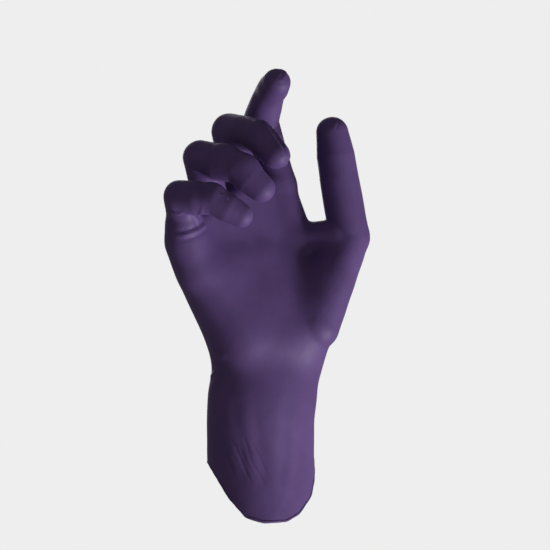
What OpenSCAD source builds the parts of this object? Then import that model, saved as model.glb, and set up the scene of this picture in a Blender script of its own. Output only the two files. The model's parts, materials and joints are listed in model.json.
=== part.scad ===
// Disposable nitrile glove for the right hand, in the shape it takes on a raised,
// half-curled hand. Origin: centre of the cuff opening on its back side.
// +Z runs from the cuff to the fingers, the palm faces -Y and the thumb is on the +X side.
// Each digit is cut at its knuckles, where the film bends, so each length of it can turn.

/* [Film] */
// Drawn thickness of the film
film = 0.5; // [0.3:0.1:0.6]
// Gap kept between two lengths that turn past each other
gap = 0.35; // [0.3:0.05:0.4]

/* [Cuff] */
// Half width of the cuff, side to side
cuff_a = 34; // [32:0.5:38]
// Half depth of the cuff, palm side to back
cuff_b = 25; // [23:0.5:29]
// Height of the wrist bend above the cuff opening
wrist_z = 56; // [50:1:60]
// Half width of the wrist
wrist_a = 32; // [30:0.5:33]
// Half depth of the wrist
wrist_b = 22.5; // [20:0.5:23]
// How far the palm side of the cuff is pulled down
tongue_drop = 38; // [20:1:45]
// Direction of the pulled tongue, turned from -Y towards -X
tongue_turn = 28; // [20:1:35]
// Width of the rolled bead at the rim
bead_w = 2.2; // [1.8:0.1:2.6]
// How far the bead stands out from the film
bead_out = 0.7; // [0.4:0.1:1]

/* [Digits: thumb, index, middle, ring, little] */
// Centre of each digit's root joint
root = [[28, -14, 78], [16.5, 8.5, 162], [-7, 10, 156.5], [-29.5, 6, 146], [-50.5, -1, 132.5]]; // [-60:0.5:165]
// Lean of each digit towards the thumb side, degrees
lean = [0, -14, -20, -34, -45]; // [-48:1:5]
// Turn of each digit's hinge lines about the digit, degrees
twist = [-90, -5, 7, 20, 27]; // [-95:1:30]
// Bend held at each root joint, degrees
root_bend = [-25, -4, 9, 20, 35]; // [-30:1:38]
// Bend held at each middle joint, degrees
mid_bend = [36, 55, 92, 99, 88]; // [20:1:104]
// Length from the root joint to the middle joint
root_len = [58, 40, 40, 37, 28]; // [25:1:60]
// Length from the middle joint to the end joint
mid_len = [36, 26, 29, 27, 21]; // [20:1:38]
// Length from the end joint to the centre of the tip's dome
end_len = [28, 18, 19, 19, 18]; // [15:1:30]
// Outer radius at the root joint
root_r = [15.5, 10.3, 10.3, 10, 9.2]; // [8.5:0.1:16]

/* [Hidden] */
purple = "#5d4878";
THUMB = 0;
// A finger's end joint bends this share of what its middle joint bends.
end_share = 0.35;
thumb_end_bend = -2;
// Least and furthest bend of each root joint.
root_least = [-45, -18, -18, -18, -18];
root_most = [-20, 12, 20, 45, 55];
// Bend that the middle and end joints leave room for.
finger_most = [106, 106 * end_share];
thumb_most = [61, 43];
// Sides of a hulled room and of the hulled hand, and what a room is wider by than the gap.
room_sides = 24;
hand_sides = 20;
room_spare = 0.35;
// Radius lost over each length of a digit.
thumb_taper = [2.8, 0.4, 1.5];
finger_taper = [0.2, 0.2, 0.4];
// Each length starts inside the one before it, one film and one gap smaller.
step = film + gap;
// The cuff ends this far up, clear of the thumb when the wrist bends.
cuff_top = wrist_z - 12;
// The hand's skin starts this far up, on the wrist's film.
palm_foot = wrist_z + 8;
reach = 200;
$fn = 64;

function taper(d) = d == THUMB ? thumb_taper : finger_taper;
function most(d) = d == THUMB ? thumb_most : finger_most;
function bend(d) = [root_bend[d], mid_bend[d], d == THUMB ? thumb_end_bend : end_share * mid_bend[d]];
function start_r(d, k) = k == 0 ? root_r[d] : start_r(d, k - 1) - taper(d)[k - 1] - step;

// ---- one length of a digit -------------------------------------------------------------

// Frame at digit d's joint k, turned with the length that leaves it: x is the hinge line,
// z runs along the length and -y is the side that it bends to.
module at_joint(d, k) {
    b = bend(d);
    translate(root[d]) rotate([0, lean[d], 0]) rotate([0, 0, twist[d]]) rotate([b[0], 0, 0])
        if (k == 0) children();
        else translate([0, 0, root_len[d]]) rotate([b[1], 0, 0])
            if (k == 1) children();
            else translate([0, 0, mid_len[d]]) rotate([b[2], 0, 0]) children();
}

// Outline of a length: a round back end, a cone, and a dome where it is a tip.
function length_outline(r0, r1, long, tip) = concat(
    [for (a = [-90 : 10 : 0]) [r0 * cos(a), r0 * sin(a)]],
    tip ? [for (a = [0 : 10 : 90]) [r1 * cos(a), long + r1 * sin(a)]] : [[r1, long], [0, long]]);

module solid_length(r0, r1, long, tip) {
    rotate_extrude() polygon(length_outline(r0, r1, long, tip));
}

// Film of a length. Its back end is open towards the length before it.
module hollow_length(r0, r1, long, tip, held) {
    difference() {
        solid_length(r0, r1, long, tip);
        solid_length(r0 - film, r1 - film, tip ? long : long + 1, tip);
        rotate([180 - held, 0, 0]) cylinder(h = 2 * r0, r = 0.7 * r0);
    }
}

// Side view of the room that the next length, of radius r, takes on the palm side when it
// bends as far as far degrees.
function room_outline(r, far) = concat(
    [[0.5, r], [0.5, far > 90 ? -r : -0.5]],
    far > 90 ? [[-3 * r, -r + 3 * r / tan(far)]]
             : [[-r * cos(far), -r * sin(far)],
                [-3 * r, -r * sin(far) + r * (3 - cos(far)) / tan(far)]],
    [[-3 * r, r]]);

module bend_room(r, far) {
    rotate([90, 0, 90]) translate([0, 0, -3 * r]) linear_extrude(6 * r)
        polygon(room_outline(r, far));
}

module digit_length(d, k) {
    long = [root_len[d], mid_len[d], end_len[d]][k];
    r0 = start_r(d, k);
    color(purple) at_joint(d, k) difference() {
        hollow_length(r0, r0 - taper(d)[k], long, k == 2, bend(d)[k]);
        if (k < 2) translate([0, 0, long]) bend_room(start_r(d, k + 1) + gap, most(d)[k]);
    }
}

// ---- hand --------------------------------------------------------------------------------

// Room for a digit's first length, from its least to its furthest bend.
module turning_room(d, long) {
    r = root_r[d] + gap + room_spare;
    between = (root_most[d] - root_least[d]) / 3;
    translate(root[d]) rotate([0, lean[d], 0]) rotate([0, 0, twist[d]]) hull() {
        sphere(r = r, $fn = room_sides);
        for (i = [0 : 3]) rotate([root_least[d] + i * between, 0, 0])
            cylinder(h = long, r1 = r, r2 = r - taper(d)[0], $fn = room_sides);
    }
}

// Round masses that the skin of the hand is stretched on: one at each finger's root, then
// the web of the thumb, the two mounds at the heel of the palm and the thick of the hand.
palm_balls = concat(
    [for (d = [1 : 4]) [root[d], root_r[d] + gap + film + 0.5]],
    [[[26, -7, 124], 8], [[-31, -2, 92], 17], [[19, -4, 86], 18], [[-14, 3, 128], 16]]);

module palm_mass(shrink) {
    hull() {
        for (ball = palm_balls) translate(ball[0]) sphere(r = ball[1] - shrink, $fn = hand_sides);
        translate([0, 0, palm_foot - 2 * shrink]) linear_extrude(1)
            oval(wrist_a - shrink, wrist_b - shrink, 10);
    }
}

module hand_shell() {
    color(purple) difference() {
        palm_mass(0);
        palm_mass(film);
        for (d = [1 : 4]) turning_room(d, 2 * root_r[d]);
        turning_room(THUMB, root_len[THUMB] + 12);
    }
}

// Film over the wrist: a drum about the wrist's hinge line, inside the top of the cuff.
module wrist_drum(shrink) {
    a = cuff_a - step - shrink;
    b = cuff_b - step - shrink;
    translate([0, 0, wrist_z]) rotate([0, 90, 0]) rotate_extrude()
        polygon([for (t = [-90 : 15 : 90]) [b * cos(t), a * sin(t)]]);
}

module wrist_sleeve() {
    color(purple) difference() {
        wrist_drum(0);
        wrist_drum(film);
        translate([-reach / 2, -reach / 2, palm_foot]) cube(reach);
        // way to the cuff
        translate([0, 0, wrist_z - 40]) linear_extrude(40) oval(0.8 * cuff_a, 0.7 * cuff_b, 10);
    }
}

// ---- cuff --------------------------------------------------------------------------------

module oval(a, b, facet) {
    polygon([for (t = [0 : facet : 359]) [a * cos(t), b * sin(t)]]);
}

module oval_body(low, high, shrink) {
    translate([0, 0, low]) linear_extrude(high - low)
        oval(cuff_a - shrink, cuff_b - shrink, 6);
}

// Half width of the cuff seen along the tongue.
seen_a = norm([cuff_a * cos(tongue_turn), cuff_b * sin(tongue_turn)]);

// The rim seen along the tongue: across, and up. lift raises it and narrows the tongue.
function rim_outline(lift) = [
    [-2 * cuff_a, lift], [-0.98 * seen_a, lift], [-0.36 * seen_a, lift - 0.9 * tongue_drop],
    [0, lift - tongue_drop], [0.55 * seen_a, lift - tongue_drop],
    [0.86 * seen_a - lift, lift - 0.66 * tongue_drop], [0.93 * seen_a - lift, lift],
    [2 * cuff_a, lift]];

// Everything below the rim: the tongue's outline in front, a level cut behind.
module below_rim(lift) {
    bottom = -2 * tongue_drop;
    rotate([0, 0, -tongue_turn]) {
        translate([0, 8, 0]) rotate([90, 0, 0]) linear_extrude(reach)
            polygon(concat([[-2 * cuff_a, bottom]], rim_outline(lift), [[2 * cuff_a, bottom]]));
        translate([-reach / 2, 3, bottom]) cube([reach, reach, lift - bottom]);
    }
}

module cuff_film(out) {
    difference() {
        oval_body(-tongue_drop - 1, cuff_top, -out);
        oval_body(-tongue_drop - 2, cuff_top + 1, film);
    }
}

module cuff_sleeve() {
    color(purple) difference() {
        cuff_film(0);
        below_rim(bead_w);
    }
}

module cuff_bead() {
    color(purple) difference() {
        intersection() {
            cuff_film(bead_out);
            below_rim(bead_w);
        }
        below_rim(0);
    }
}

cuff_bead();
cuff_sleeve();
wrist_sleeve();
hand_shell();
digit_length(0, 0);  // thumb_base
digit_length(0, 1);  // thumb_middle
digit_length(0, 2);  // thumb_tip
digit_length(1, 0);  // index_base
digit_length(1, 1);  // index_middle
digit_length(1, 2);  // index_tip
digit_length(2, 0);  // middle_base
digit_length(2, 1);  // middle_middle
digit_length(2, 2);  // middle_tip
digit_length(3, 0);  // ring_base
digit_length(3, 1);  // ring_middle
digit_length(3, 2);  // ring_tip
digit_length(4, 0);  // little_base
digit_length(4, 1);  // little_middle
digit_length(4, 2);  // little_tip
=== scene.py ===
"""Looks of a dark purple nitrile glove, worn on a raised and half-curled right hand.

The film is one smooth skin. It is shaped as a distance field around the digits and the palm, turned
into a mesh, creased, given an inside, and cut at the knuckles into pieces.
"""
import json
import math

import bpy
import numpy as np
import openvdb
from mathutils import Matrix, Vector


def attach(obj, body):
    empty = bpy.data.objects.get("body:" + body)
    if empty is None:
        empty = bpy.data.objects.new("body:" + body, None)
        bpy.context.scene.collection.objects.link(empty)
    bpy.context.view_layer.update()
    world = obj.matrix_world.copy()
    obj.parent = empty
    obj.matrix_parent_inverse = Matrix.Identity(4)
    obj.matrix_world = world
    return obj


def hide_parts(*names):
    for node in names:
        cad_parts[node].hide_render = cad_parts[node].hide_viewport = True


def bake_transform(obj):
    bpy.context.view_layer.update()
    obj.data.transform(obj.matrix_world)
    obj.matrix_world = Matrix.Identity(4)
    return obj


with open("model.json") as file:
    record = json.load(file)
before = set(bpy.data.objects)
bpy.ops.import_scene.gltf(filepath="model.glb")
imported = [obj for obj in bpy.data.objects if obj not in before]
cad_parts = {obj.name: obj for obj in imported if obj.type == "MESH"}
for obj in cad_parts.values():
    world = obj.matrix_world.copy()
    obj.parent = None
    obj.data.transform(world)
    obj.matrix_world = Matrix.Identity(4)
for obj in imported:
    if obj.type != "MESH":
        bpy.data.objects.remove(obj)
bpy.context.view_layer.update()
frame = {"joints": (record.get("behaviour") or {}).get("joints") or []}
MM = 0.001

# ---- sizes, in millimetres -------------------------------------------------------------------

VOXEL = 0.9                           # step of the grid that the film is shaped on
GRID_LOW, GRID_HIGH = (-82, -62, -52), (80, 46, 246)         # block that holds all the film
PALM_LOW, PALM_HIGH = (-60.0, -45, -60), (60.0, 50, 140)     # block round the forearm and palm
FAR_OUT = 1e3                         # a distance that nothing reaches
FILM = 0.35
BEAD_R = 0.85
BEAD_STEP, BEAD_SIDES = 0.9, 14
VIEW_TURN = -28.0                     # the photograph's azimuth, which the tongue is pulled towards
CAMERA_FAR = 1500.0
CAMERA_SENSOR = 36.0
FRAME_HEIGHT = 330.0
VIEW_CENTRE_UP = 108.0
VIEW_CENTRE_RIGHT = 7.8

# Each digit: its joints from the frame, the length of its last bone, the film's radius at the root,
# middle joint, end joint and tip, how far the film's middle joint, end joint and tip lie to the
# right of the bone's in the photograph's view, and how much fuller the middle of each bone is than
# a straight taper.
DIGITS = {
    "thumb": (("thumb_swing", "thumb_middle_bend", "thumb_end_bend"), 28.0,
              (15.2, 11.8, 11.5, 9.5), (0.0, -0.3, -0.7), (0.0, 0.15, 0.6)),
    "index": (("index_base_bend", "index_middle_bend", "index_end_bend"), 18.0,
              (9.9, 10.5, 8.7, 7.9), (-2.0, -0.8, -1.9), (-0.1, 0.2, 0.5)),
    "middle": (("middle_base_bend", "middle_middle_bend", "middle_end_bend"), 19.0,
               (10.5, 10.4, 9.3, 7.9), (-0.3, -0.6, -1.9), (0.0, 0.5, 0.6)),
    "ring": (("ring_base_bend", "ring_middle_bend", "ring_end_bend"), 19.0,
             (10.2, 9.9, 9.0, 7.8), (1.0, 0.5, 0.0), (0.0, 1.0, 0.7)),
    "little": (("little_base_bend", "little_middle_bend", "little_end_bend"), 18.0,
               (9.8, 9.2, 8.0, 6.8), (-0.6, 0.0, 0.0), (0.0, 1.2, 0.9)),
}
FINGERS = ("index", "middle", "ring", "little")
THUMB_END_BEND = -2.0                 # degrees that the thumb's end leans back
END_SHARE = 0.35                      # share of the middle joint's bend that the end joint has

# Bunched film beside a curled finger: the finger, its bone, the share along it, how far to the
# right, up and near in the photograph's view, and the radius. It joins the finger this softly.
BUNCHED = (("ring", 1, 0.75, -1.5, 4.2, 0.5, 7.6), ("ring", 2, 0.3, 0.5, 3.4, 0.0, 7.2),
           ("little", 1, 0.95, 0.0, 3.4, 0.0, 6.4))
BUNCHED_SOFT = 4.0

# Sections of the forearm and palm: height, centre x and y, half width, half depth.
SECTIONS = (
    (-60, -0.85, 0.0, 34.0, 24.5), (20, -0.85, 0.0, 34.0, 24.5), (33, 0.3, 0.3, 35.0, 24.2),
    (42, 1.6, 0.8, 34.9, 23.6), (51, 4.3, 1.2, 35.2, 22.8), (63, 5.4, 2.0, 37.6, 21.5),
    (75, 0.9, 2.3, 38.4, 20.2), (87, -5.0, 2.5, 39.0, 19.2), (100, -10.0, 3.0, 40.4, 17.8),
    (114, -15.1, 3.7, 41.6, 16.0), (134, -20.5, 4.8, 38.0, 11.5))
SECTION_TOP = 134.0
SECTION_CAP = 16.0                    # how softly the top of the last section is closed


# ---- small geometry helpers ------------------------------------------------------------------

def unit(v):
    return v / np.linalg.norm(v)


def turned(v, axis, degrees):
    """v turned about axis by the right-hand rule."""
    rotation = Matrix.Rotation(math.radians(degrees), 3, Vector(axis))
    return np.array(rotation @ Vector(v))


def angle_between(a, b):
    return math.degrees(math.acos(max(-1.0, min(1.0, float(np.dot(unit(a), unit(b)))))))


def smoothstep(x):
    x = np.clip(x, 0.0, 1.0)
    return x * x * (3.0 - 2.0 * x)


VIEW_BACK = np.array([math.sin(math.radians(VIEW_TURN)), -math.cos(math.radians(VIEW_TURN)), 0.0])
VIEW_RIGHT = np.array([math.cos(math.radians(VIEW_TURN)), math.sin(math.radians(VIEW_TURN)), 0.0])
UP = np.array([0.0, 0.0, 1.0])


def seen(right, up, near):
    """The point right and up of the origin in the photograph's view, and near the viewer."""
    return right * VIEW_RIGHT + up * UP + near * VIEW_BACK


JOINTS = {joint["name"]: joint for joint in frame["joints"]}


def joint_at(name):
    return np.array(JOINTS[name]["pos_m"], float) / MM


class Digit:
    """Bones of one digit. joints and bones hold the frame's joints and tip, and the directions
    between them; p and d hold the same for the film, which lies a little beside them."""

    def __init__(self, name):
        hinges, end_len, self.radii, beside, self.full = DIGITS[name]
        self.bodies = tuple(JOINTS[hinge]["child"] for hinge in hinges)
        p = [joint_at(hinge) for hinge in hinges]
        d = [unit(p[1] - p[0]), unit(p[2] - p[1])]
        self.axis = unit(np.cross(d[0], d[1]))
        bend = THUMB_END_BEND if name == "thumb" else END_SHARE * angle_between(*d)
        d.append(turned(d[1], self.axis, bend))
        p.append(p[2] + d[2] * end_len)
        self.joints, self.bones = list(p), d
        for k in range(3):
            p[k + 1] = p[k + 1] + beside[k] * VIEW_RIGHT
        self.p = p
        self.d = [unit(p[k + 1] - p[k]) for k in range(3)]

    def palmar(self, k):
        """Direction square to bone k, on the side that the digit bends to."""
        return unit(np.cross(self.axis, self.d[k]))


digits = {name: Digit(name) for name in DIGITS}


# ---- distance field --------------------------------------------------------------------------

def round_cone(points, a, b, ra, rb):
    """Distance to a bone with radius ra at a and rb at b."""
    line = b - a
    along = np.clip(((points - a) @ line) / float(line @ line), 0.0, 1.0)
    away = points - a - along[..., None] * line
    return np.sqrt(np.einsum("...i,...i", away, away)) - (ra + (rb - ra) * along)


def bone_shape(points, ends, radii):
    return round_cone(points, *ends, *radii)


def round_triangle(points, corners, radii):
    """Distance to a plate whose half thickness changes from corner to corner."""
    a, b, c = corners
    square = np.cross(b - a, c - a)
    area = float(square @ square)
    inside, thick = True, 0.0
    for (p, q), radius in zip(((b, c), (c, a), (a, b)), radii):
        share = np.cross(q - p, points - p) @ square / area
        inside = inside & (share > 0.0)
        thick = thick + share * radius
    flat = np.abs((points - a) @ square) / math.sqrt(area) - thick
    edges = [round_cone(points, p, q, rp, rq) for p, q, rp, rq in
             ((a, b, radii[0], radii[1]), (b, c, radii[1], radii[2]), (c, a, radii[2], radii[0]))]
    return np.minimum(np.minimum.reduce(edges), np.where(inside, flat, FAR_OUT))


def oval_body(points):
    """Distance to the forearm and palm, a body of squarish oval sections along z."""
    z = np.clip(points[..., 2], SECTIONS[0][0], SECTION_TOP)
    table = np.array(SECTIONS, float)
    cx, cy, a, b = (np.interp(z, table[:, 0], table[:, i]) for i in (1, 2, 3, 4))
    square = 2.0 + 0.35 * smoothstep((z - 40.0) / 50.0)
    x, y = points[..., 0] - cx, points[..., 1] - cy
    reach = (np.abs(x / a) ** square + np.abs(y / b) ** square) ** (1.0 / square)
    away = np.sqrt(x * x + y * y)
    side = away - away / np.maximum(reach, 1e-3)
    return -smooth_min(-side, SECTION_TOP - points[..., 2], SECTION_CAP)


def smooth_min(a, b, k):
    h = np.maximum(k - np.abs(a - b), 0.0) / k
    return np.minimum(a, b) - h * h * k * 0.25


def palm_parts():
    """Bones and mounds under the film of the hand: corners, radii and how softly each one joins."""
    parts = []

    def part(corners, radii, soft):
        parts.append(([np.array(corner, float) for corner in corners], radii, soft))

    roots = [digits[name].p[0] for name in FINGERS]
    heads = [roots[0] - 1.2 * VIEW_RIGHT] + roots[1:]
    heels = np.array([(17.0, 4.5, 112), (4.0, 5.0, 104), (-12.0, 4.5, 96), (-26.0, 3.0, 88)])
    head_r, heel_r = (9.9, 10.4, 10.2, 9.8), (12.0, 12.5, 12.5, 12.0)
    # plate of the palm, in triangles between the fingers' roots and the thick of the hand
    for i in range(3):
        part((heads[i], heads[i + 1], heels[i]), (head_r[i], head_r[i + 1], heel_r[i]), 3.0)
        part((heads[i + 1], heels[i], heels[i + 1]), (head_r[i + 1], heel_r[i], heel_r[i + 1]), 3.0)
    part((heads[0], (21.0, 6.0, 141), heels[0]), (9.9, 11.0, 12.0), 3.0)
    # soft edge of the hand below the little finger
    part((roots[3] + (-5.5, -5.0, 4.0), roots[3] + (-4.0, -2.5, -6.0), (-46.0, -2.0, 110)),
         (10.2, 10.8, 11.5), 4.0)
    # ball of the thumb, heel of the palm on the little finger's side, web of the thumb
    part((heels[0], (17.0, -6.5, 70), (28.5, -10.0, 86)), (12.0, 14.4, 15.2), 10.0)
    part(((28.5, -10.0, 86), (37.0, -10.5, 103)), (15.2, 14.6), 5.0)
    part(((37.0, -10.5, 103), digits["thumb"].p[1]), (14.6, 11.8), 4.0)
    part(((22.0, -6.0, 72), (-14.0, -4.5, 72), (2.0, -1.0, 92)), (15.2, 15.2, 14.5), 12.0)
    part(((-16.0, -3.5, 70), (-36.0, -2.0, 106)), (13.5, 12.0), 10.0)
    part(((22.0, 3.5, 129.5), (42.0, -12.0, 133.0)), (8.0, 8.6), 6.0)
    # knuckle that stands out at the thumb's middle joint
    knuckle = digits["thumb"].p[1]
    part((knuckle + (2.6, 0.0, -2.0), knuckle + (2.4, 0.0, 3.0)), (9.6, 9.4), 2.0)
    return parts


def digit_field(digit, points):
    """Distance to the film of a digit, with the bunched film beside it."""
    p, r = digit.p, digit.radii
    field = None
    for k in range(3):
        mid = 0.5 * (p[k] + p[k + 1])
        full = 0.5 * (r[k] + r[k + 1]) + digit.full[k]
        for a, b, ra, rb in ((p[k], mid, r[k], full), (mid, p[k + 1], full, r[k + 1])):
            part = round_cone(points, a, b, ra, rb)
            field = part if field is None else np.minimum(field, part)
    for name, k, share, right, up, near, radius in BUNCHED:
        if digits[name] is digit:
            centre = p[k] + share * (p[k + 1] - p[k]) + seen(right, up, near)
            ball = np.linalg.norm(points - centre, axis=-1) - radius
            field = smooth_min(field, ball, BUNCHED_SOFT)
    return field


class Grid:
    """A block of space that holds the distance to the film's outside at every voxel."""

    def __init__(self, low, high):
        self.low = np.array(low, float)
        self.count = np.ceil((np.array(high, float) - self.low) / VOXEL).astype(int) + 1
        self.field = np.full(self.count, FAR_OUT, np.float32)

    def window(self, low, high):
        first = np.clip(np.floor((low - self.low) / VOXEL).astype(int), 0, self.count - 1)
        last = np.clip(np.ceil((high - self.low) / VOXEL).astype(int) + 1, 1, self.count)
        axes = [self.low[i] + VOXEL * np.arange(first[i], last[i]) for i in range(3)]
        points = np.stack(np.meshgrid(*axes, indexing="ij"), -1).astype(np.float32)
        return tuple(slice(a, b) for a, b in zip(first, last)), points

    def join(self, ends, radius, distance, k):
        """Joins a shape to the field within reach of its ends."""
        reach = radius + k + 4.0
        where, points = self.window(np.min(ends, 0) - reach, np.max(ends, 0) + reach)
        self.field[where] = smooth_min(self.field[where], distance(points), k)

    def soften(self, radius, weight):
        """Blends in the mean of the field over boxes of about radius, by weight at every voxel."""
        field = self.field
        width = 2 * radius + 1
        for _ in range(2):
            for axis in range(3):
                border = [(radius + 1, radius) if i == axis else (0, 0) for i in range(3)]
                total = np.cumsum(np.pad(field, border, mode="edge"), axis, dtype=np.float64)
                at = np.arange(field.shape[axis])
                field = ((np.take(total, at + width, axis) - np.take(total, at, axis))
                         / width).astype(np.float32)
        self.field += weight * (field - self.field)

    def surface(self):
        """Corners and quads of the surface where the distance is nought."""
        grid = openvdb.FloatGrid(100.0)
        grid.copyFromArray(self.field)
        corners, quads = grid.convertToQuads(isovalue=0.0)
        return np.asarray(corners, float) * VOXEL + self.low, np.asarray(quads, int)[:, ::-1]


# How softly each digit joins the palm at its root and over its whole length, and the smoothing of
# the hand: the reach in voxels and the height where it fades out over SMOOTH_FADE.
ROOT_SOFT, DIGIT_SOFT = 3.0, 0.6
SMOOTHING = ((4, 105.0), (2, 128.0))
SMOOTH_FADE = 30.0


def glove_surface():
    """Corners and quads of the film's outside, before any fold."""
    grid = Grid(GRID_LOW, GRID_HIGH)
    where, points = grid.window(np.array(PALM_LOW), np.array(PALM_HIGH))
    grid.field[where] = oval_body(points)
    for corners, radii, soft in palm_parts():
        shape = round_triangle if len(corners) == 3 else bone_shape
        grid.join(corners, max(radii), lambda q: shape(q, corners, radii), soft)
    for digit in digits.values():
        a, b = digit.p[0], 0.5 * (digit.p[0] + digit.p[1])
        ra, rb = digit.radii[0], 0.5 * (digit.radii[0] + digit.radii[1]) + digit.full[0]
        grid.join((a, b), ra, lambda q: round_cone(q, a, b, ra, rb), ROOT_SOFT)
    heights = grid.low[2] + VOXEL * np.arange(grid.count[2])
    for radius, top in SMOOTHING:
        fade = smoothstep((heights - top) / SMOOTH_FADE).astype(np.float32)
        grid.soften(radius, 1.0 - fade)
    for digit in digits.values():
        grid.join(digit.p, digit.radii[0], lambda q: digit_field(digit, q), DIGIT_SOFT)
    return grid.surface()


# ---- rim, folds and creases ------------------------------------------------------------------

# The tongue of the cuff seen from the front: across, and the share of its full drop.
TONGUE = ((-34.2, 0.0), (-28.0, 0.3), (-21.2, 0.62), (-11.4, 0.92), (0.0, 1.0), (16.0, 1.0),
          (24.0, 0.9), (29.4, 0.66), (31.5, 0.3), (32.6, 0.0))
TONGUE_DROP = 37.0
TONGUE_EDGE, TONGUE_FADE = -12.0, 8.0  # how near the viewer the rim starts to drop, and over what


def rim_height(points):
    """Height of the cuff's rim above or below each point."""
    across, near = points @ VIEW_RIGHT, points @ VIEW_BACK
    table = np.array(TONGUE)
    share = np.interp(across, table[:, 0], table[:, 1])
    return -TONGUE_DROP * share * smoothstep((near - TONGUE_EDGE) / TONGUE_FADE)


def vertex_normals(points, quads):
    """Unit normals of a quad mesh at its corners."""
    a, b, c, d = (points[quads[:, i]] for i in range(4))
    face = np.cross(c - a, d - b)
    normals = np.zeros_like(points)
    for i in range(4):
        np.add.at(normals, quads[:, i], face)
    return normals / np.maximum(np.linalg.norm(normals, axis=1, keepdims=True), 1e-9)


RELAX_IN, RELAX_OUT = 0.5, -0.52


def relaxed(points, quads, rounds, held=None):
    """Points moved towards the mean of their neighbours and back again, so nothing shrinks."""
    edges = np.concatenate([quads[:, [i, (i + 1) % 4]] for i in range(4)])
    edges = np.unique(np.sort(edges, 1), axis=0)
    count = np.bincount(edges.ravel(), minlength=len(points))[:, None]
    for turn in range(2 * rounds):
        total = np.zeros_like(points)
        np.add.at(total, edges[:, 0], points[edges[:, 1]])
        np.add.at(total, edges[:, 1], points[edges[:, 0]])
        move = total / np.maximum(count, 1) - points
        if held is not None:
            move[held] = 0.0
        points = points + (RELAX_IN if turn % 2 == 0 else RELAX_OUT) * move
    return points


def kept(points, quads, keep):
    """The mesh with only the quads where keep is true, and no loose points."""
    quads = quads[keep]
    used, quads = np.unique(quads, return_inverse=True)
    return points[used], quads.reshape(-1, 4), used


def rim_loop(quads):
    """Points along the open edge of the cuff, in order."""
    edges = np.concatenate([quads[:, [i, (i + 1) % 4]] for i in range(4)])
    key, where, count = np.unique(np.sort(edges, 1), axis=0, return_index=True, return_counts=True)
    following = {int(a): int(b) for a, b in edges[where[count == 1]]}
    loops = []
    while following:
        start, at = following.popitem()
        loop = [start]
        while at != start and at in following:
            loop.append(at)
            at = following.pop(at)
        loops.append(loop)
    return max(loops, key=len)


def line_distance(points, line):
    """Distance from points to a polyline, and the share of its length at the nearest place."""
    line = np.array(line, float)
    lengths = np.linalg.norm(np.diff(line, axis=0), axis=1)
    total = lengths.sum()
    best = np.full(len(points), np.inf)
    share = np.zeros(len(points))
    before = 0.0
    for a, b, length in zip(line[:-1], line[1:], lengths):
        along = np.clip(((points - a) @ (b - a)) / length ** 2, 0.0, 1.0)
        away = np.linalg.norm(points - a - along[:, None] * (b - a), axis=1)
        nearer = away < best
        best[nearer] = away[nearer]
        share[nearer] = ((before + along * length) / total)[nearer]
        before += length
    return best, share


SEEN_REACH = 1.2                      # how far beside a line of sight a point may lie
FOLD_END = 0.25                       # share of a fold over which each of its ends fades
FOLD_LIP_AT = 2.0                     # the lips' distance from the line, in widths


class Folds:
    """Adds up how far each point of the film is pushed in or out along its normal."""

    def __init__(self, points, normals):
        self.points, self.normals = points, normals
        self.push = np.zeros(len(points))

    def on_skin(self, point):
        """The point of the film nearest to a given place."""
        return self.points[np.argmin(np.linalg.norm(self.points - point, axis=1))]

    def on_front(self, right, up):
        """The point of the film that the photograph's view sees at that place."""
        flat = np.hypot(self.points @ VIEW_RIGHT - right, self.points[:, 2] - up)
        close = np.flatnonzero(flat < SEEN_REACH)
        if not len(close):
            return self.points[np.argmin(flat)]
        return self.points[close[np.argmax(self.points[close] @ VIEW_BACK)]]

    def line(self, line, depth, width, lip=0.35):
        """A crease along a line: a groove with a raised lip at each side, fading at its ends.
        A negative depth makes a ridge."""
        away, share = line_distance(self.points, line)
        fade = smoothstep(share / FOLD_END) * smoothstep((1.0 - share) / FOLD_END)
        x = away / width
        self.push += fade * depth * (lip * np.exp(-((x - FOLD_LIP_AT) ** 2)) - np.exp(-x * x))

    def front_line(self, places, depth, width, lip=0.35):
        """A crease through places that the photograph's view sees."""
        self.line([self.on_front(*place) for place in places], depth, width, lip)

    def applied(self):
        """The points, pushed."""
        return self.points + self.push[:, None] * self.normals


CREASE_ARC = 80.0                     # degrees of a digit that a joint's crease goes round
CREASE_REACH = 9.0                    # where the crease is looked for, out from the bone
CREASE_WIDTH, CREASE_LIP = 0.9, 0.2


def across_finger(folds, digit, k, along):
    """A line round the inside of a digit at bone k, along mm from its joint."""
    centre = digit.p[k] + along * digit.d[k]
    side = digit.palmar(k)
    out = unit(side - (side @ digit.d[k]) * digit.d[k])
    beside = np.cross(digit.d[k], out)
    line = []
    for turn in np.radians(np.linspace(-CREASE_ARC / 2, CREASE_ARC / 2, 7)):
        ray = centre + CREASE_REACH * (math.cos(turn) * out + math.sin(turn) * beside)
        line.append(folds.on_skin(ray))
    return line


def crease_joints(folds):
    """Creases that cross the inside of each joint, deeper and further on the more it is bent."""
    for digit in digits.values():
        for k in (1, 2):
            bend = min(angle_between(digit.d[k - 1], digit.d[k]), 90.0)
            depth = 0.25 + 0.9 * bend / 90.0
            line = across_finger(folds, digit, k, 1.0 + 0.09 * bend)
            folds.line(line, 0.5 * depth, CREASE_WIDTH, CREASE_LIP)


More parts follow.
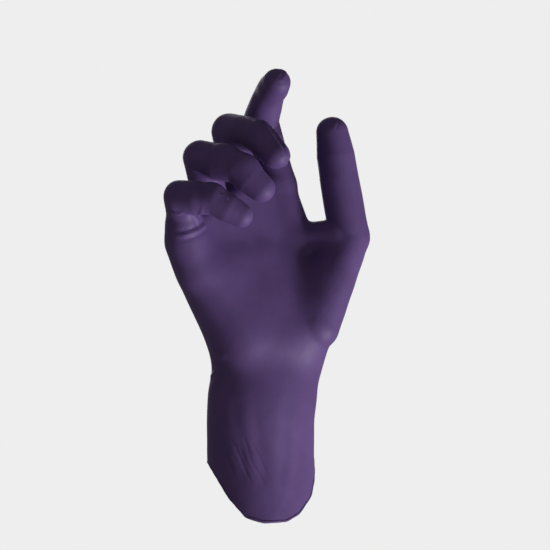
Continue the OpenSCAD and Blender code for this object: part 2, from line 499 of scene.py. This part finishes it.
def crease_front(folds):
    """Folds that the photograph shows on the palm side."""
    # V of pinched film at the index finger's root, and its tail over the middle fingertip
    folds.front_line(((-3.0, 200.5), (1.0, 198.0), (4.5, 196.0)), -0.9, 0.9)
    folds.front_line(((12.5, 201.0), (8.5, 198.5), (4.5, 196.0)), -0.9, 0.9)
    folds.front_line(((4.0, 196.5), (9.0, 190.0), (13.5, 182.5), (16.5, 177.0)), -1.0, 1.1)
    # slack film that ends in a squarish corner beyond the middle fingertip
    folds.front_line(((11.0, 171.5), (14.5, 174.5), (17.5, 178.0)), -1.3, 1.3)
    # oval pad of slack film at the index fingertip
    folds.front_line(((9.0, 227.0), (11.5, 230.0), (14.5, 228.5), (14.8, 225.0), (12.0, 222.5),
                      (9.0, 224.0), (9.0, 227.0)), 0.35, 0.8)
    # fold between ring and little finger, and the bunched film at the little finger's root
    folds.front_line(((-24.0, 156.0), (-21.0, 154.5), (-18.5, 152.5)), 0.5, 0.8)
    folds.front_line(((-52.0, 131.0), (-45.0, 130.0), (-37.0, 133.5), (-31.5, 138.5)), 1.1, 1.3)
    folds.front_line(((-52.5, 144.5), (-49.0, 142.5), (-45.0, 143.5)), 0.7, 0.9)
    folds.front_line(((-40.0, 146.0), (-37.0, 141.0), (-35.5, 136.0)), 0.7, 0.9)
    folds.front_line(((-34.0, 148.5), (-35.0, 143.0), (-38.5, 138.5)), 0.5, 0.8)
    folds.front_line(((-43.0, 170.0), (-36.0, 167.5), (-27.5, 164.0)), 0.5, 0.9)
    # notch and slack film at the wrist's little finger side
    folds.front_line(((-33.5, 47.5), (-29.0, 49.0), (-22.0, 47.0)), 0.8, 1.6)
    folds.front_line(((-33.5, 57.0), (-27.0, 60.0), (-20.0, 61.0)), 0.35, 2.2)
    # tight point of film at the thumb's tip
    folds.front_line(((43.5, 203.0), (44.0, 199.5), (42.5, 196.0)), 0.4, 0.7)


STREAKS = 9
STREAKS_FROM, STREAKS_SPAN = -29.0, 23.0
STREAK_SLANT = 0.55
STREAK_WIDTH, STREAK_LIP = 0.7, 0.2
# Broad soft folds that lead from the wrist into the pull: right, top and drift to the right.
SOFT_FOLDS = ((-20.0, 42.0, 12.0), (-5.0, 34.0, 8.0), (16.0, 40.0, -3.0), (25.0, 30.0, -4.0))
SOFT_FOLD_LONG, SOFT_FOLD_DEPTH, SOFT_FOLD_WIDTH, SOFT_FOLD_LIP = 58.0, -0.3, 3.6, 0.4


def stretch_cuff(folds):
    """Fine ridges of stretched film that run down towards the pulled tongue, and broad folds."""
    for i in range(STREAKS):
        share = i / (STREAKS - 1)
        right = STREAKS_FROM + STREAKS_SPAN * share
        high = 9.0 + 5.0 * math.sin(2.3 * i + 0.6)
        long = 17.0 + 6.0 * math.cos(1.7 * i)
        places = [(right + STREAK_SLANT * long * t, high - long * t) for t in (0.0, 0.35, 0.7, 1.0)]
        folds.front_line(places, -0.27 - 0.1 * math.cos(2.9 * i), STREAK_WIDTH, STREAK_LIP)
    for right, top, drift in SOFT_FOLDS:
        places = [(right + drift * t, top - SOFT_FOLD_LONG * t) for t in (0, 0.33, 0.66, 1)]
        folds.front_line(places, SOFT_FOLD_DEPTH, SOFT_FOLD_WIDTH, SOFT_FOLD_LIP)


# Loose folds across the back of the wrist: x, z and slope.
BACK_FOLDS = ((-20, 40, 0.15), (4, 33, -0.1), (16, 50, 0.2), (-8, 60, 0.05))
BACK_BEHIND, KNUCKLE_BEHIND = 40.0, 16.0


def slack_back(folds):
    """Loose folds on the back of the wrist, and the valleys between the knuckles."""
    for x, z, slope in BACK_FOLDS:
        line = [folds.on_skin(np.array([x + dx, BACK_BEHIND, z + slope * dx]))
                for dx in (-16, -5, 6, 16)]
        folds.line(line, 0.5, 2.2, 0.5)
    for name, following in zip(FINGERS, FINGERS[1:]):
        mid = 0.5 * (digits[name].p[0] + digits[following].p[0])
        mid = mid + np.array([0.0, KNUCKLE_BEHIND, 0.0])
        line = [folds.on_skin(mid + np.array([0, 0, dz])) for dz in (4, -8, -20)]
        folds.line(line, 0.8, 3.0, 0.1)


def waviness(points):
    """Slow unevenness of a dipped film that lies over skin, in millimetres."""
    x, y, z = points.T
    return (0.09 * np.sin(0.21 * x + 0.13 * z + 1.1) * np.sin(0.17 * z - 0.11 * y)
            + 0.05 * np.sin(0.37 * y - 0.29 * z + 0.7) * np.sin(0.33 * x + 0.4))


PULL_TOP, PULL_LONG = 12.0, 50.0
PULL_EDGE, PULL_FADE = -4.0, 20.0
PULL_CENTRE = 6.0
PULL_OUT, PULL_IN = 7.0, 0.16


def pulled(points):
    """The tongue drawn towards the viewer and narrowed, as a pull on the cuff shapes it."""
    low = np.clip((PULL_TOP - points[:, 2]) / PULL_LONG, 0.0, 1.0) ** 2
    front = smoothstep((points @ VIEW_BACK - PULL_EDGE) / PULL_FADE)
    pull = low * front
    across = points @ VIEW_RIGHT - PULL_CENTRE
    return (points + (PULL_OUT * pull)[:, None] * VIEW_BACK
            - (PULL_IN * pull * across)[:, None] * VIEW_RIGHT)


# ---- film: mesh, inside, pieces --------------------------------------------------------------

RIM_ROUNDS = 30


def build_skin():
    """The film's outside, cut at the rim and creased, and its points along the rim."""
    points, quads = glove_surface()
    points = relaxed(points, quads, 3)
    above = points[:, 2] - rim_height(points)
    points, quads, _ = kept(points, quads, (above[quads] > 0.0).any(1))  # quads above the rim
    loop = rim_loop(quads)
    edge = points[loop]
    for _ in range(RIM_ROUNDS):
        edge[:, 2] += 0.5 * (rim_height(edge) - edge[:, 2])
        edge = 0.5 * edge + 0.25 * (np.roll(edge, 1, 0) + np.roll(edge, -1, 0))
    points[loop] = edge
    points = relaxed(points, quads, 2, held=loop)
    folds = Folds(points, vertex_normals(points, quads))
    folds.push += waviness(points)
    crease_joints(folds)
    crease_front(folds)
    stretch_cuff(folds)
    slack_back(folds)
    points = relaxed(pulled(folds.applied()), quads, 1, held=loop)
    return points, quads, loop


def zone(centre, direction, half):
    """Start and end of a blend that is centred on a joint."""
    return centre - half * direction, centre + half * direction


def bisector(digit, k):
    """Direction halfway between the bones before and after joint k."""
    return unit(digit.bones[k - 1] + digit.bones[k])


# Where each blend lies: along the bone from a finger's root, on each side of a joint, in height at
# the wrist, along its normal in the thumb's web, and along the bone from the thumb's middle joint.
ROOT_START, ROOT_END = 4.0, 19.0
JOINT_HALF, THUMB_END_HALF = 4.0, 8.0
WRIST_LOW, WRIST_HIGH = 30.0, 74.0
WEB_NORMAL = unit(np.array([0.978, 0.0, 0.207]))
WEB_START, WEB_END = 60.0, 65.5
THUMB_START, THUMB_END = 9.0, 24.0
# A piece starts a little before its blend, and the cuff's ends a little after its own, so that each
# cut lies where the film on both sides of it moves as one.
ROOT_LAP, WRIST_LAP, JOINT_LAP, WEB_LAP, THUMB_LAP = 1.0, 1.0, 0.8, 0.5, 1.0
THUMB_SPLIT = 25.0                    # where the thumb's last piece starts
THUMB_CLOSE = 2.5                     # how close to the thumb its own film lies
WEB_TOP = 154.0                       # no web is higher than this
CUFF_NUMBER = 1                       # film_cuff's number among the pieces


def piece_of(points):
    """Number of the piece that each point belongs to, and the pieces' names and blends."""
    plan = [("film_palm", None)]
    part = np.zeros(len(points), int)
    field = np.stack([digit_field(digits[name], points) for name in DIGITS])
    nearest = field.argmin(0)
    plan.append(("film_cuff", ("cuff", "hand", WRIST_LOW * UP, WRIST_HIGH * UP)))
    part[points[:, 2] < WRIST_HIGH + WRIST_LAP] = CUFF_NUMBER
    for number, (name, digit) in enumerate(digits.items()):
        mine = nearest == number
        base, middle, tip = digit.bodies
        first = len(plan)
        if name == "thumb":
            plan.append(("film_thumb_root",
                         ("hand", base, WEB_START * WEB_NORMAL, WEB_END * WEB_NORMAL)))
            beside = points @ WEB_NORMAL > WEB_START - WEB_LAP
            fingers_side = (nearest != number) & (points[:, 2] > WEB_TOP)
            part[beside & ~fingers_side & (part == 0)] = first
            start = digit.joints[1] + THUMB_START * digit.bones[1]
            end = digit.joints[1] + THUMB_END * digit.bones[1]
            plan.append(("film_thumb_middle", (base, middle, start, end)))
            mine = mine & (field[number] < THUMB_CLOSE)
            split = (points - digit.joints[1]) @ digit.bones[1]
            part[mine & (split > THUMB_START - THUMB_LAP)] = first + 1
            plan.append(("film_thumb_tip",
                         (middle, tip, *zone(digit.joints[2], digit.bones[2], THUMB_END_HALF))))
            part[mine & (split > THUMB_SPLIT)] = first + 2
            continue
        along = (points - digit.joints[0]) @ digit.bones[0]
        start = digit.joints[0] + ROOT_START * digit.bones[0]
        end = digit.joints[0] + ROOT_END * digit.bones[0]
        plan.append((f"film_{name}_root", ("hand", base, start, end)))
        part[mine & (along > ROOT_START - ROOT_LAP)] = first
        for k, body_a, body_b in ((1, base, middle), (2, middle, tip)):
            across = bisector(digit, k)
            plan.append((f"film_{name}_{('middle', 'tip')[k - 1]}",
                         (body_a, body_b, *zone(digit.joints[k], across, JOINT_HALF))))
            beyond = (points - digit.joints[k]) @ across > -JOINT_HALF - JOINT_LAP
            part[mine & beyond & (part == first + k - 1)] = first + k
    return part, plan


REPLACED = {
    "film_palm": ("hand_shell",), "film_cuff": ("cuff_sleeve", "wrist_sleeve"),
    "film_thumb_root": ("thumb_base",), "film_thumb_middle": ("thumb_middle",),
    "film_thumb_tip": ("thumb_tip",),
    **{f"film_{name}_root": (f"{name}_base",) for name in FINGERS},
    **{f"film_{name}_middle": (f"{name}_middle",) for name in FINGERS},
    **{f"film_{name}_tip": (f"{name}_tip",) for name in FINGERS},
}


def new_object(name, points, faces, normals, material):
    """A smooth mesh object from corners in millimetres."""
    mesh = bpy.data.meshes.new(name)
    mesh.from_pydata((points * MM).tolist(), [], faces.tolist())
    mesh.update()
    mesh.shade_smooth()
    mesh.normals_split_custom_set_from_vertices(normals.tolist())
    mesh.materials.append(material)
    piece = bpy.data.objects.new(name, mesh)
    bpy.context.scene.collection.objects.link(piece)
    return piece


def add_skin(material):
    """The film's outside and inside, cut into pieces; only the palm's piece is attached to the
    hand.
    """
    points, quads, loop = build_skin()
    normals = vertex_normals(points, quads)
    inside = points - FILM * normals
    centre = points[quads].mean(1)
    part, plan = piece_of(centre)
    step = len(points)
    edge = np.stack([loop, np.roll(loop, -1)], 1)
    rim = np.stack([edge[:, 1], edge[:, 0], edge[:, 0] + step, edge[:, 1] + step], 1)
    faces = np.concatenate([quads, quads[:, ::-1] + step, rim])
    part = np.concatenate([part, part, np.full(len(rim), CUFF_NUMBER)])
    points_all = np.concatenate([points, inside])
    normals_all = np.concatenate([normals, -normals])
    for number, (name, blend) in enumerate(plan):
        some, local, used = kept(points_all, faces, part == number)
        piece = new_object(name, some, local, normals_all[used], material)
        if blend is None:
            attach(piece, "hand")
        else:
            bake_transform(piece)
        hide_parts(*REPLACED[name])
    return points[loop], normals[loop]


def add_bead(edge, normals, material):
    """The rolled bead: a soft tube along the rim, a little uneven as a rolled edge is."""
    lengths = np.linalg.norm(np.roll(edge, -1, 0) - edge, axis=1)
    along = np.concatenate([[0.0], np.cumsum(lengths)])
    closed = np.concatenate([edge, edge[:1]])
    rings = int(along[-1] / BEAD_STEP)
    at = np.linspace(0.0, along[-1], rings, endpoint=False)
    path = np.stack([np.interp(at, along, closed[:, i]) for i in range(3)], 1)
    for _ in range(3):
        path = 0.5 * path + 0.25 * (np.roll(path, 1, 0) + np.roll(path, -1, 0))
    out = np.stack([np.interp(at, along, np.append(normals[:, i], normals[0, i]))
                    for i in range(3)], 1)
    tangent = np.roll(path, -1, 0) - np.roll(path, 1, 0)
    tangent /= np.linalg.norm(tangent, axis=1, keepdims=True)
    out -= np.sum(out * tangent, 1)[:, None] * tangent
    out /= np.linalg.norm(out, axis=1, keepdims=True)
    side = np.cross(tangent, out)
    corners = []
    for k in range(BEAD_SIDES):
        turn = 2 * math.pi * k / BEAD_SIDES
        r = BEAD_R * (1.0 + 0.07 * np.sin(0.9 * at + 3.0 * turn) + 0.05 * np.sin(0.23 * at))
        corners.append(path + r[:, None] * (math.cos(turn) * out + math.sin(turn) * side))
    points = np.stack(corners, 1).reshape(-1, 3)
    ring = np.arange(rings)[:, None] * BEAD_SIDES
    after = ((np.arange(rings)[:, None] + 1) % rings) * BEAD_SIDES
    k = np.arange(BEAD_SIDES)[None]
    following = (k + 1) % BEAD_SIDES
    faces = np.stack([ring + k, ring + following, after + following, after + k], -1).reshape(-1, 4)
    piece = new_object("rolled_bead", points, faces, vertex_normals(points, faces), material)
    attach(piece, "cuff")
    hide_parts("cuff_bead")


# ---- materials -------------------------------------------------------------------------------

def nitrile(name, colour, dark, roughness):
    """Dipped nitrile: satin, a little cloudy in colour, with a fine grain and soft unevenness."""
    material = bpy.data.materials.new(name)
    material.use_nodes = True
    nodes, links = material.node_tree.nodes, material.node_tree.links
    shader = nodes["Principled BSDF"]
    place = nodes.new("ShaderNodeTexCoord").outputs["Object"]

    def noise(scale, detail, rough=0.5):
        node = nodes.new("ShaderNodeTexNoise")
        node.inputs["Scale"].default_value = scale
        node.inputs["Detail"].default_value = detail
        node.inputs["Roughness"].default_value = rough
        links.new(place, node.inputs["Vector"])
        return node.outputs["Fac"]

    cloud = nodes.new("ShaderNodeValToRGB")
    cloud.color_ramp.elements[0].position = 0.3
    cloud.color_ramp.elements[0].color = (*dark, 1.0)
    cloud.color_ramp.elements[1].position = 0.72
    cloud.color_ramp.elements[1].color = (*colour, 1.0)
    links.new(noise(38.0, 4.0, 0.6), cloud.inputs["Fac"])
    links.new(cloud.outputs["Color"], shader.inputs["Base Color"])

    spread = nodes.new("ShaderNodeMapRange")
    spread.inputs["To Min"].default_value = roughness - 0.06
    spread.inputs["To Max"].default_value = roughness + 0.08
    links.new(noise(240.0, 3.0), spread.inputs["Value"])
    links.new(spread.outputs["Result"], shader.inputs["Roughness"])

    soft = nodes.new("ShaderNodeBump")
    soft.inputs["Strength"].default_value = 0.35
    soft.inputs["Distance"].default_value = 0.0004
    links.new(noise(130.0, 2.0), soft.inputs["Height"])
    grain = nodes.new("ShaderNodeBump")
    grain.inputs["Strength"].default_value = 0.25
    grain.inputs["Distance"].default_value = 0.00008
    links.new(noise(2600.0, 2.0, 0.6), grain.inputs["Height"])
    links.new(soft.outputs["Normal"], grain.inputs["Normal"])
    links.new(grain.outputs["Normal"], shader.inputs["Normal"])

    shader.inputs["Specular IOR Level"].default_value = 0.2
    shader.inputs["Sheen Weight"].default_value = 0.04
    shader.inputs["Sheen Roughness"].default_value = 0.45
    shader.inputs["Sheen Tint"].default_value = (0.62, 0.5, 0.9, 1.0)
    return material


def pale_paper():
    """Evenly lit pale paper, for the floor and the wall."""
    material = bpy.data.materials.new("pale_paper")
    material.use_nodes = True
    shader = material.node_tree.nodes["Principled BSDF"]
    shader.inputs["Base Color"].default_value = (0.0, 0.0, 0.0, 1.0)
    shader.inputs["Specular IOR Level"].default_value = 0.0
    shader.inputs["Emission Color"].default_value = (0.855, 0.855, 0.855, 1.0)
    shader.inputs["Emission Strength"].default_value = 1.0
    return material


# ---- stage, lights and camera ----------------------------------------------------------------

def add_backdrop():
    """A pale floor far below that curves up into a pale wall all round, in one sheet."""
    floor, wide, bend, top, sides = -1.6, 4.5, 1.5, 5.0, 48
    profile = [(0.4 * wide, floor)]
    profile += [(wide - bend + bend * math.sin(t), floor + bend - bend * math.cos(t))
                for t in np.radians(np.linspace(0, 90, 13))]
    profile.append((wide, top))
    corners = [(0.0, 0.0, floor)]
    corners += [(r * math.cos(t), r * math.sin(t), z) for r, z in profile
                for t in np.linspace(0, 2 * math.pi, sides, endpoint=False)]
    faces = [(0, 1 + i, 1 + (i + 1) % sides) for i in range(sides)]
    for ring in range(len(profile) - 1):
        low, high = 1 + ring * sides, 1 + (ring + 1) * sides
        faces += [(low + i, high + i, high + (i + 1) % sides, low + (i + 1) % sides)
                  for i in range(sides)]
    mesh = bpy.data.meshes.new("backdrop")
    mesh.from_pydata(corners, [], faces)
    mesh.shade_smooth()
    mesh.materials.append(pale_paper())
    sheet = bpy.data.objects.new("backdrop", mesh)
    bpy.context.scene.collection.objects.link(sheet)
    sheet.visible_diffuse = sheet.visible_glossy = sheet.visible_shadow = False


def add_light(name, place, target, size, power, colour=(1, 1, 1)):
    data = bpy.data.lights.new(name, "AREA")
    data.shape = "DISK"
    data.size = size
    data.energy = power
    data.color = colour
    light = bpy.data.objects.new(name, data)
    light.location = place
    light.rotation_euler = (Vector(target) - Vector(place)).to_track_quat("-Z", "Y").to_euler()
    bpy.context.scene.collection.objects.link(light)
    return light


def add_lights():
    target = (0.0, 0.0, 0.11)
    key = 1.25 * VIEW_RIGHT + 0.42 * VIEW_BACK - 0.85 * UP
    front = 0.8 * VIEW_RIGHT + 1.4 * VIEW_BACK - 0.5 * UP
    add_light("key", tuple(key), target, 0.6, 29.0, (1.0, 0.97, 0.99))
    behind = -1.5 * VIEW_BACK - 0.2 * VIEW_RIGHT + 0.5 * UP
    add_light("front", tuple(front), target, 0.9, 1.3)
    add_light("behind", tuple(behind), target, 1.2, 9.0, (1.0, 0.97, 0.99))
    world = bpy.data.worlds.new("studio")
    world.use_nodes = True
    world.node_tree.nodes["Background"].inputs["Color"].default_value = (0.9, 0.87, 0.86, 1)
    world.node_tree.nodes["Background"].inputs["Strength"].default_value = 0.2
    bpy.context.scene.world = world


def add_camera():
    data = bpy.data.cameras.new("camera")
    data.sensor_width = CAMERA_SENSOR
    data.lens = data.sensor_width * CAMERA_FAR / FRAME_HEIGHT
    data.clip_end = 100.0             # metres
    camera = bpy.data.objects.new("camera", data)
    centre = VIEW_CENTRE_UP * UP + VIEW_CENTRE_RIGHT * VIEW_RIGHT
    camera.location = tuple((centre + CAMERA_FAR * VIEW_BACK) * MM)
    camera.rotation_euler = Vector(-VIEW_BACK).to_track_quat("-Z", "Y").to_euler()
    bpy.context.scene.collection.objects.link(camera)
    bpy.context.scene.camera = camera


# ---- build -----------------------------------------------------------------------------------

film_material = nitrile("nitrile_film", (0.112, 0.063, 0.2), (0.09, 0.05, 0.16), 0.54)
bead_material = nitrile("nitrile_bead", (0.095, 0.054, 0.17), (0.076, 0.042, 0.135), 0.48)
rim_edge, rim_normals = add_skin(film_material)
add_bead(rim_edge, rim_normals, bead_material)
add_backdrop()
add_lights()
add_camera()
bpy.context.scene.view_settings.view_transform = "Standard"
